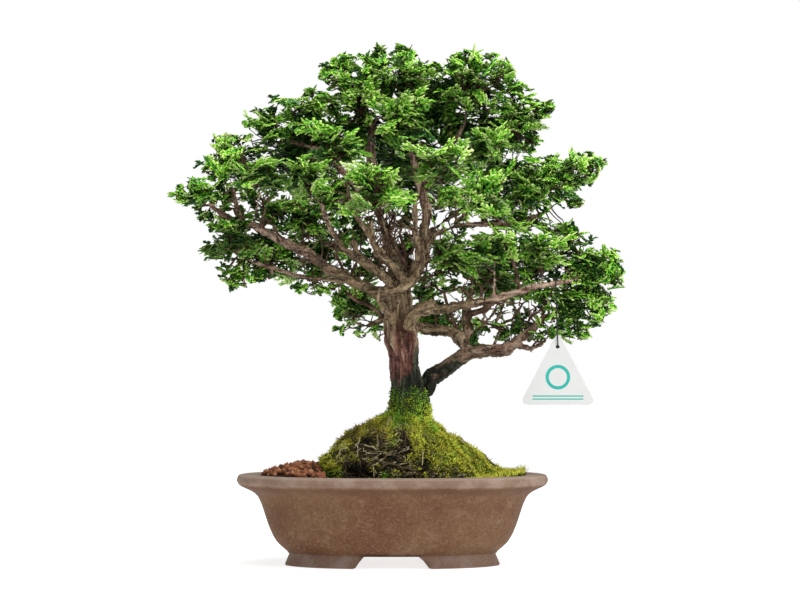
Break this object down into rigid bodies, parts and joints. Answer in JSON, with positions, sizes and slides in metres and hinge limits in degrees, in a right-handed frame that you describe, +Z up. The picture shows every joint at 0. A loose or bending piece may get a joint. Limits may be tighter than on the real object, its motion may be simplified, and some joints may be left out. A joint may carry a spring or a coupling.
{
  "type": "potted_bonsai_tree",
  "caption": "Potted cypress bonsai: upright trunk with spreading limbs and flat foliage pads on a mossy root mound, in an oval unglazed pot, with a blank hang tag on a cord.",
  "frame": {"origin": "On the ground under the middle of the bonsai's bounding box, measured without the tag and its cord.", "axes": "+Z is up along the trunk, +X runs along the pot's length towards the limb with the tag, and -Y is the front that the bonsai is viewed from."},
  "size_m": [0.4652, 0.3, 0.5214],
  "materials": {
    "stoneware": "unglazed, mottled ochre brown, matt",
    "mesh_plastic": "moulded black mesh",
    "akadama": "dry baked clay grains",
    "root_soil": "soil bound by fine roots, under moss",
    "bark": "fibrous red brown to grey bark",
    "foliage": "waxy scale leaves in flat fans",
    "tag_plastic": "smooth white sheet, blank",
    "cord_black": "thin twisted cord"
  },
  "bodies": {
    "root": {"pot": "stoneware", "drain_screen_left": "mesh_plastic", "drain_screen_right": "mesh_plastic", "soil_bed": "akadama", "root_mound": "root_soil", "tree_wood": "bark", "foliage_crown_left": "foliage", "foliage_crown_top": "foliage", "foliage_crown_front": "foliage", "foliage_crown_right": "foliage", "foliage_crown_right_outer": "foliage", "foliage_crown_right_low": "foliage", "foliage_crown_back": "foliage", "foliage_shoulder": "foliage", "foliage_shoulder_outer": "foliage", "foliage_left_front": "foliage", "foliage_left_outer_high": "foliage", "foliage_left_middle": "foliage", "foliage_left_tip": "foliage", "foliage_left_inner": "foliage", "foliage_left_back": "foliage", "foliage_middle_front": "foliage", "foliage_right_front": "foliage", "foliage_right_front_low": "foliage", "foliage_middle_back": "foliage", "foliage_right_back": "foliage", "foliage_right_high": "foliage", "foliage_right_high_outer": "foliage", "foliage_left_low_outer": "foliage", "foliage_left_low": "foliage", "foliage_left_between": "foliage", "foliage_left_low_back": "foliage", "foliage_low_back_left": "foliage", "foliage_right_low_inner": "foliage", "foliage_right_low_middle": "foliage", "foliage_right_low_outer": "foliage", "foliage_right_low_end": "foliage", "foliage_right_low_hang": "foliage", "foliage_right_low_under": "foliage", "foliage_right_low_back": "foliage", "foliage_low_back": "foliage", "hang_tag": "tag_plastic", "tag_cord": "cord_black"}
  },
  "joints": []
}
